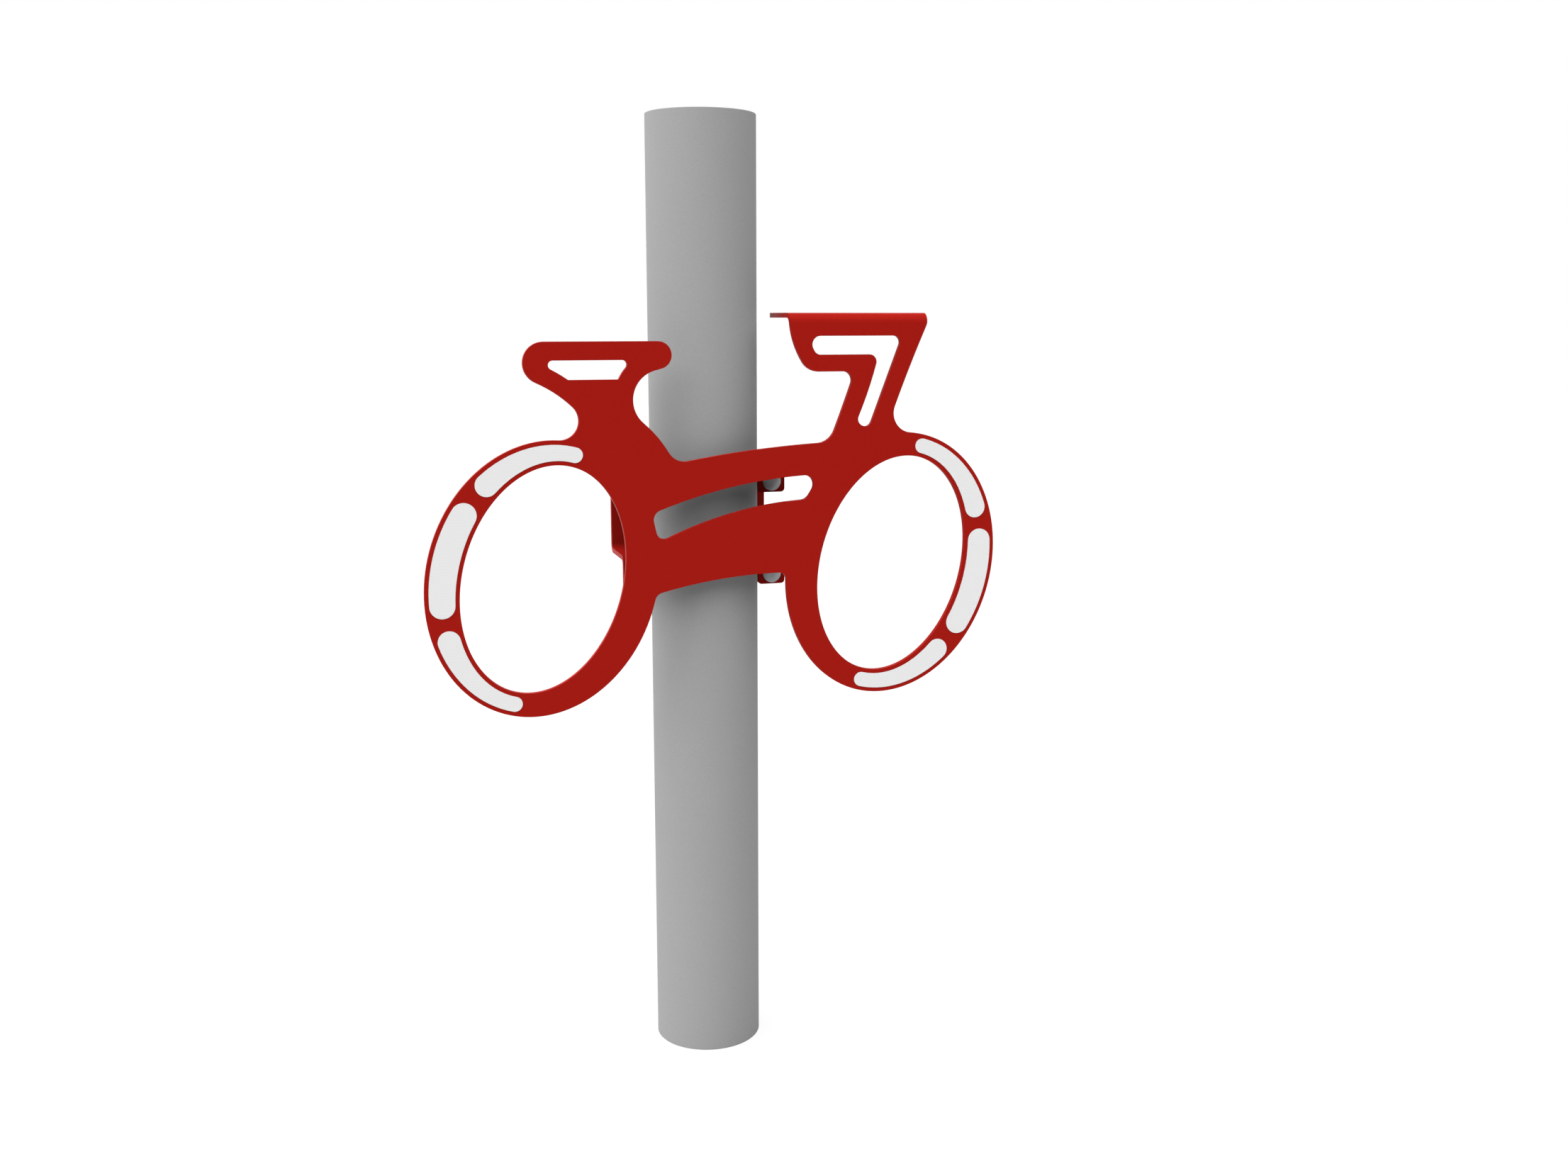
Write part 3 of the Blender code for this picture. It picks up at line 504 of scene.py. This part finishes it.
def weld_tree():
    """Lays overlapping, leaning pools of metal along a line, as a welder's torch does."""
    tree, add, join, given, end = geometry_tree(
        "weld_bead",
        {
            "Middle": "Vector",
            "Length": "Float",
            "Pool radius": "Float",
            "Pool spacing": "Float",
            "Lean": "Float",
            "Flatten": "Float",
            "Unevenness": "Float",
            "Seed": "Int",
            "Material": "Material",
        },
    )
    half = math_node(add, join, "MULTIPLY", given.outputs["Length"], 0.5)
    ends = []
    for sign in (-1.0, 1.0):
        offset = add("ShaderNodeCombineXYZ")
        join(math_node(add, join, "MULTIPLY", half, sign), offset.inputs["X"])
        spot = add("ShaderNodeVectorMath", operation="ADD")
        join(given.outputs["Middle"], spot.inputs[0])
        join(offset.outputs["Vector"], spot.inputs[1])
        ends.append(spot.outputs["Vector"])
    line = add("GeometryNodeCurvePrimitiveLine")
    join(ends[0], line.inputs["Start"])
    join(ends[1], line.inputs["End"])
    spaced = add("GeometryNodeCurveToPoints", mode="LENGTH")
    join(line.outputs["Curve"], spaced.inputs["Curve"])
    join(given.outputs["Pool spacing"], spaced.inputs["Length"])
    pool = add("GeometryNodeMeshUVSphere")
    pool.inputs["Segments"].default_value = POOL_SEGMENTS
    pool.inputs["Rings"].default_value = POOL_RINGS
    join(given.outputs["Pool radius"], pool.inputs["Radius"])
    smooth = add("GeometryNodeSetShadeSmooth")
    join(pool.outputs["Mesh"], smooth.inputs["Geometry"])
    lean = add("ShaderNodeCombineXYZ")
    join(given.outputs["Lean"], lean.inputs["Y"])
    lowest = math_node(add, join, "SUBTRACT", 1.0, given.outputs["Unevenness"])
    highest = math_node(add, join, "ADD", 1.0, given.outputs["Unevenness"])
    size = add("FunctionNodeRandomValue", data_type="FLOAT")
    join(lowest, size.inputs["Min"])
    join(highest, size.inputs["Max"])
    join(given.outputs["Seed"], size.inputs["Seed"])
    shape = add("ShaderNodeCombineXYZ")
    flattened = math_node(add, join, "MULTIPLY", size.outputs["Value"], given.outputs["Flatten"])
    join(flattened, shape.inputs["X"])
    join(size.outputs["Value"], shape.inputs["Y"])
    join(size.outputs["Value"], shape.inputs["Z"])
    laid = add("GeometryNodeInstanceOnPoints")
    join(spaced.outputs["Points"], laid.inputs["Points"])
    join(smooth.outputs["Geometry"], laid.inputs["Instance"])
    join(lean.outputs["Vector"], laid.inputs["Rotation"])
    join(shape.outputs["Vector"], laid.inputs["Scale"])
    join(laid.outputs["Instances"], end)
    return tree


def grown(name, tree, values, body_mesh=None):
    """The plain mesh that a Geometry Nodes tree makes, from an input mesh where it takes one."""
    start = body_mesh or bpy.data.meshes.new(f"{name}_start")
    holder = bpy.data.objects.new(f"{name}_holder", start)
    bpy.context.scene.collection.objects.link(holder)
    modifier = holder.modifiers.new("made", "NODES")
    modifier.node_group = tree
    for item in tree.interface.items_tree:
        if item.item_type == "SOCKET" and item.in_out == "INPUT" and item.name in values:
            modifier[item.identifier] = values[item.name]
    graph = bpy.context.evaluated_depsgraph_get()
    mesh = bpy.data.meshes.new_from_object(holder.evaluated_get(graph))
    mesh.name = name
    bpy.data.objects.remove(holder, do_unlink=True)
    return mesh


def add_piece(name, mesh, body, slot, *nodes):
    """A finished piece at the origin, which rides on a body and stands for the nodes that it replaces."""
    piece = bpy.data.objects.new(name, mesh)
    bpy.context.scene.collection.objects.link(piece)
    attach(piece, body)
    if nodes:
        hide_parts(*nodes)
    return piece


def softened(node, body, slot, material, edge):
    """A node's own shape with its edges rounded as paint or film rounds them."""
    mesh = bpy.data.meshes.new(f"{node}_softened")
    bm = bmesh.new()
    bm.from_mesh(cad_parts[node].data)
    bmesh.ops.remove_doubles(bm, verts=bm.verts, dist=MERGE_DISTANCE)
    bmesh.ops.dissolve_limit(bm, angle_limit=FLAT_ANGLE, verts=bm.verts, edges=bm.edges)
    bm.to_mesh(mesh)
    bm.free()
    mesh.materials.clear()
    mesh.materials.append(material)
    mesh.shade_smooth()
    mesh.set_sharp_from_angle(angle=SHARP_ANGLE)
    piece = add_piece(f"{node}_finished", mesh, body, slot, node)
    bevel = piece.modifiers.new("soft_edges", "BEVEL")
    bevel.width = edge
    bevel.segments = EDGE_SEGMENTS
    bevel.limit_method = "ANGLE"
    bevel.angle_limit = SHARP_ANGLE
    bevel.harden_normals = True


def ring_mesh(name, rings, steps, tube=False):
    """A solid about Z from rings given as (radius, height) or as a rule from the angle to them, joined in
    order. A tube's last ring joins its first; otherwise the two end rings are capped."""
    bm = bmesh.new()
    rows = []
    for ring in rings:
        row = []
        for k in range(steps):
            angle = 2 * math.pi * k / steps
            radius, height = ring(angle) if callable(ring) else ring
            row.append(bm.verts.new((radius * math.cos(angle), radius * math.sin(angle), height)))
        rows.append(row)
    following = rows[1:] + rows[:1] if tube else rows[1:]
    for row, after in zip(rows, following):
        for k in range(steps):
            n = (k + 1) % steps
            bm.faces.new((row[k], row[n], after[n], after[k]))
    if not tube:
        bm.faces.new(rows[0])
        bm.faces.new(rows[-1])
    bmesh.ops.recalc_face_normals(bm, faces=bm.faces)
    mesh = bpy.data.meshes.new(name)
    bm.to_mesh(mesh)
    bm.free()
    mesh.shade_smooth()
    mesh.set_sharp_from_angle(angle=SHARP_ANGLE)
    return mesh


def make_pole(materials):
    """The tube, with the burr taken off the inner and the outer rims of both ends."""
    lowest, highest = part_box("pole")
    foot, top = lowest.z, highest.z
    outer = highest.x
    bore = outer - POLE_WALL
    rings = (
        (outer, foot + POLE_DEBURR),
        (outer, top - POLE_DEBURR),
        (outer - POLE_DEBURR, top),
        (bore + POLE_DEBURR, top),
        (bore, top - POLE_DEBURR),
        (bore, foot + POLE_DEBURR),
        (bore + POLE_DEBURR, foot),
        (outer - POLE_DEBURR, foot),
    )
    mesh = ring_mesh("pole_tube", rings, POLE_STEPS, tube=True)
    mesh.materials.append(materials["pole"])
    add_piece("pole_tube", mesh, "pole", "pole_steel", "pole")


def rounded_square(half, corner_r):
    """The rule for the reach of a square with rounded corners at an angle."""

    def reach(angle):
        turn = (angle + math.pi / 4) % (math.pi / 2) - math.pi / 4
        straight = half / math.cos(turn)
        if abs(math.tan(turn)) * half <= half - corner_r:
            return straight
        corner = (half - corner_r) * math.sqrt(2)
        off = math.pi / 4 - abs(turn)
        return corner * math.cos(off) + math.sqrt(corner_r ** 2 - (corner * math.sin(off)) ** 2)

    return reach


def coach_bolt_mesh():
    """A mushroom-headed bolt with a square neck: head up, and the shank's end cut down for its thread."""
    rise = HEAD_HEIGHT - HEAD_RIM
    dome_r = (HEAD_R ** 2 + rise ** 2) / (2 * rise)
    sweep = math.asin(HEAD_R / dome_r)
    first = math.asin(CROWN_R / dome_r)
    neck = rounded_square(NECK_HALF, NECK_CORNER_R)
    rings = []
    for k in range(DOME_RINGS + 1):
        angle = first + (sweep - first) * k / DOME_RINGS
        rings.append((dome_r * math.sin(angle), HEAD_HEIGHT - dome_r + dome_r * math.cos(angle)))
    rings += [
        (HEAD_R, HEAD_RIM_SOFT),
        (HEAD_R - HEAD_RIM_SOFT, 0.0),
        lambda angle: (neck(angle), 0.0),
        lambda angle: (neck(angle), -NECK_DEPTH),
        (SHANK_R, -NECK_DEPTH - NECK_TAPER),
        (SHANK_R, -SHANK_END),
        (CORE_R, -CORE_START),
        (CORE_R, -BOLT_LENGTH + TIP_LENGTH),
        (TIP_R, -BOLT_LENGTH),
    ]
    return ring_mesh("coach_bolt", rings, FASTENER_STEPS)


def washer_mesh():
    """A flat washer with its two outer rims and one rim of its bore rounded off."""
    rings = (
        (WASHER_BORE_R, 0.0),
        (WASHER_R - WASHER_ROUND, 0.0),
        (WASHER_R, WASHER_ROUND),
        (WASHER_R, WASHER_THICKNESS - WASHER_ROUND),
        (WASHER_R - WASHER_ROUND, WASHER_THICKNESS),
        (WASHER_BORE_R + WASHER_ROUND, WASHER_THICKNESS),
        (WASHER_BORE_R, WASHER_THICKNESS - WASHER_ROUND),
    )
    return ring_mesh("washer", rings, FASTENER_STEPS, tube=True)


def nut_mesh():
    """A hexagon nut whose corners are cut back by a cone at both ends."""
    face_r = NUT_FLATS / 2 * NUT_FACE_SHARE

    def reach(angle):
        turn = angle % (math.pi / 3) - math.pi / 6
        return NUT_FLATS / 2 / math.cos(turn)

    def cut(angle):
        return (reach(angle) - face_r) * math.tan(NUT_CHAMFER)

    rings = (
        (NUT_BORE_R, NUT_COUNTERSINK),
        (NUT_BORE_R + NUT_COUNTERSINK, 0.0),
        (face_r, 0.0),
        lambda angle: (reach(angle), cut(angle)),
        lambda angle: (reach(angle), NUT_HEIGHT - cut(angle)),
        (face_r, NUT_HEIGHT),
        (NUT_BORE_R + NUT_COUNTERSINK, NUT_HEIGHT),
        (NUT_BORE_R, NUT_HEIGHT - NUT_COUNTERSINK),
    )
    return ring_mesh("nut", rings, FASTENER_STEPS, tube=True)


def put(mesh, name, matrix, material):
    """A copy of a mesh in its own place."""
    made = mesh.copy()
    made.name = name
    made.transform(matrix)
    made.materials.clear()
    made.materials.append(material)
    return made


def threaded_bolt_mesh(material):
    """The coach bolt with its thread, a ridge that reaches the shank's radius from inside the core."""
    ridge_r = THREAD_SIDE / math.sqrt(3.0)
    thread_length = BOLT_LENGTH - CORE_START - 2 * THREAD_END_MARGIN
    values = {
        "Pitch": THREAD_PITCH,
        "Turns": thread_length / THREAD_PITCH,
        "Steps a turn": THREAD_STEPS,
        "Ridge centre radius": SHANK_R - ridge_r,
        "Ridge radius": ridge_r,
        "Lowest point": -BOLT_LENGTH + THREAD_END_MARGIN,
        "Material": material,
    }
    return grown("threaded_bolt", thread_tree(), values, coach_bolt_mesh())


def make_fasteners(materials):
    """Bolts with their heads at the front, and washers and nuts behind the rear clamp's tabs."""
    bolt = threaded_bolt_mesh(materials["zinc"])
    washer, nut = washer_mesh(), nut_mesh()
    head_forward = Matrix.Rotation(math.pi / 2, 4, "X")
    away_from_head = Matrix.Rotation(-math.pi / 2, 4, "X")
    for level in LEVELS:
        for side in SIDES:
            end = f"{level}_{side}"
            # The number is how far a mesh's zero lies behind the foremost point of its solid
            for kind, mesh, turn, behind, body in (
                ("coach_bolt", bolt, head_forward, HEAD_HEIGHT, "hook"),
                ("washer", washer, away_from_head, 0.0, "clamp_back"),
                ("nut", nut, away_from_head, 0.0, f"nut_{end}"),
            ):
                lowest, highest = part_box(f"{kind}_{end}")
                middle = (lowest + highest) / 2
                place = Vector((middle.x, lowest.y + behind, middle.z))
                name = f"{kind}_{end}_finished"
                placed = put(mesh, name, Matrix.Translation(place) @ turn, materials["zinc"])
                add_piece(name, placed, body, "zinc_plate", f"{kind}_{end}")


def make_welds(materials):
    """Short beads above and below each front bracket's flange, in the corner with the bicycle's back."""
    tree = weld_tree()
    plate_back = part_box("bike_plate")[0].y + SHEET
    values = {
        "Length": WELD_LENGTH,
        "Pool radius": WELD_RADIUS,
        "Pool spacing": WELD_RIPPLE,
        "Lean": WELD_LEAN,
        "Flatten": WELD_FLATTEN,
        "Unevenness": WELD_UNEVEN,
        "Material": materials["red"],
    }
    seed = 0
    for level in LEVELS:
        flange_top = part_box(f"front_bracket_{level}")[1].z
        for face, z, out in (("top", flange_top, 1), ("under", flange_top - SHEET, -1)):
            joined = bmesh.new()
            for x in WELD_X:
                seed += 1
                middle = (x, plate_back + WELD_INSET, z + out * WELD_INSET)
                joined.from_mesh(grown("bead", tree, {**values, "Middle": middle, "Seed": seed}))
            mesh = bpy.data.meshes.new(f"weld_{level}_{face}")
            joined.to_mesh(mesh)
            joined.free()
            mesh.materials.append(materials["red"])
            add_piece(f"weld_{level}_{face}", mesh, "hook", "red_powder_coat")


def make_sheet_parts(materials):
    """The bicycle and the clamp with their coat, and the strips of film on the rims."""
    for node, body in (
        ("bike_plate", "hook"),
        ("front_bracket_upper", "hook"),
        ("front_bracket_lower", "hook"),
        ("rear_clamp", "clamp_back"),
    ):
        softened(node, body, "red_powder_coat", materials["red"], COATED_EDGE)
    for wheel in ("rear", "front"):
        for place in ("upper", "middle", "lower"):
            softened(f"reflector_{wheel}_{place}", "hook", "reflective_film", materials["film"], FILM_EDGE)


def seen_directly(add, join):
    """1 where a ray comes straight from the camera, a mirror-like surface or glass, and otherwise 0."""
    path = add("ShaderNodeLightPath")
    glossy = math_node(add, join, "MAXIMUM", path.outputs["Is Camera Ray"], path.outputs["Is Glossy Ray"])
    return math_node(add, join, "MAXIMUM", glossy, path.outputs["Is Transmission Ray"])


def make_world():
    """White where it is seen, and only a low, even light on the object."""
    world = bpy.data.worlds.new("studio")
    bpy.context.scene.world = world
    world.use_nodes = True
    add, join = tree_nodes(world.node_tree)
    sky = world.node_tree.nodes["Background"]
    sky.inputs["Color"].default_value = WORLD_WHITE
    level = add("ShaderNodeMapRange")
    level.inputs["To Min"].default_value = WORLD_LEVEL
    level.inputs["To Max"].default_value = WORLD_SEEN_LEVEL
    join(seen_directly(add, join), level.inputs["Value"])
    join(level.outputs["Result"], sky.inputs["Strength"])


def make_floor():
    """A pale floor that shows white, apart from a faint shadow of what stands on it."""
    mesh = bpy.data.meshes.new("floor")
    h = FLOOR_HALF
    mesh.from_pydata([(-h, -h, 0), (h, -h, 0), (h, h, 0), (-h, h, 0)], [], [(0, 1, 2, 3)])
    floor = bpy.data.objects.new("floor", mesh)
    bpy.context.scene.collection.objects.link(floor)
    made = bpy.data.materials.new("floor")
    made.use_nodes = True
    tree = made.node_tree
    tree.nodes.clear()
    add, join = tree_nodes(tree)
    matt = add("ShaderNodeBsdfDiffuse")
    matt.inputs["Color"].default_value = FLOOR_GREY
    pale = add("ShaderNodeBsdfDiffuse")
    pale.inputs["Color"].default_value = FLOOR_SHADOW_GREY
    glow = add("ShaderNodeEmission")
    glow.inputs["Strength"].default_value = FLOOR_GLOW
    both = add("ShaderNodeAddShader")
    choice = add("ShaderNodeMixShader")
    out = add("ShaderNodeOutputMaterial")
    join(pale.outputs[0], both.inputs[0])
    join(glow.outputs[0], both.inputs[1])
    join(seen_directly(add, join), choice.inputs[0])
    join(matt.outputs[0], choice.inputs[1])
    join(both.outputs[0], choice.inputs[2])
    join(choice.outputs[0], out.inputs["Surface"])
    mesh.materials.append(made)


def add_lamp(name, strength, in_gloss, width, heading, rise):
    """A soft, even lamp far away, in the direction of a heading and a rise above the floor."""
    data = bpy.data.lights.new(name, "SUN")
    data.energy = strength
    data.angle = width
    lamp = bpy.data.objects.new(name, data)
    bpy.context.scene.collection.objects.link(lamp)
    towards = Vector((
        math.sin(heading) * math.cos(rise),
        -math.cos(heading) * math.cos(rise),
        math.sin(rise),
    ))
    lamp.visible_glossy = in_gloss
    lamp.rotation_mode = "QUATERNION"
    lamp.rotation_quaternion = towards.to_track_quat("Z", "Y")


def make_studio():
    make_world()
    make_floor()
    for name, strength, in_gloss, *angles in LAMPS:
        add_lamp(name, strength, in_gloss, *(math.radians(angle) for angle in angles))
    data = bpy.data.cameras.new("camera")
    data.lens = CAMERA_LENS
    data.sensor_width = CAMERA_SENSOR
    camera = bpy.data.objects.new("camera", data)
    bpy.context.scene.collection.objects.link(camera)
    camera.location = CAMERA_PLACE
    camera.rotation_euler = (math.pi / 2 - CAMERA_PITCH, 0.0, -CAMERA_HEADING)
    bpy.context.scene.camera = camera
    bpy.context.scene.view_settings.view_transform = "Standard"


def make_materials():
    groups = {
        "mottling": mottling_group(),
        "skin": paint_skin_group(),
        "wall": cut_wall_group(),
        "cells": film_cells_group(),
        "grain": metal_grain_group(),
    }
    return {
        "red": red_powder_coat(groups),
        "pole": pole_paint(groups),
        "film": reflective_film(groups),
        "zinc": zinc_plate(groups),
    }


def main():
    make_studio()
    materials = make_materials()
    make_pole(materials)
    make_sheet_parts(materials)
    make_welds(materials)
    make_fasteners(materials)


main()
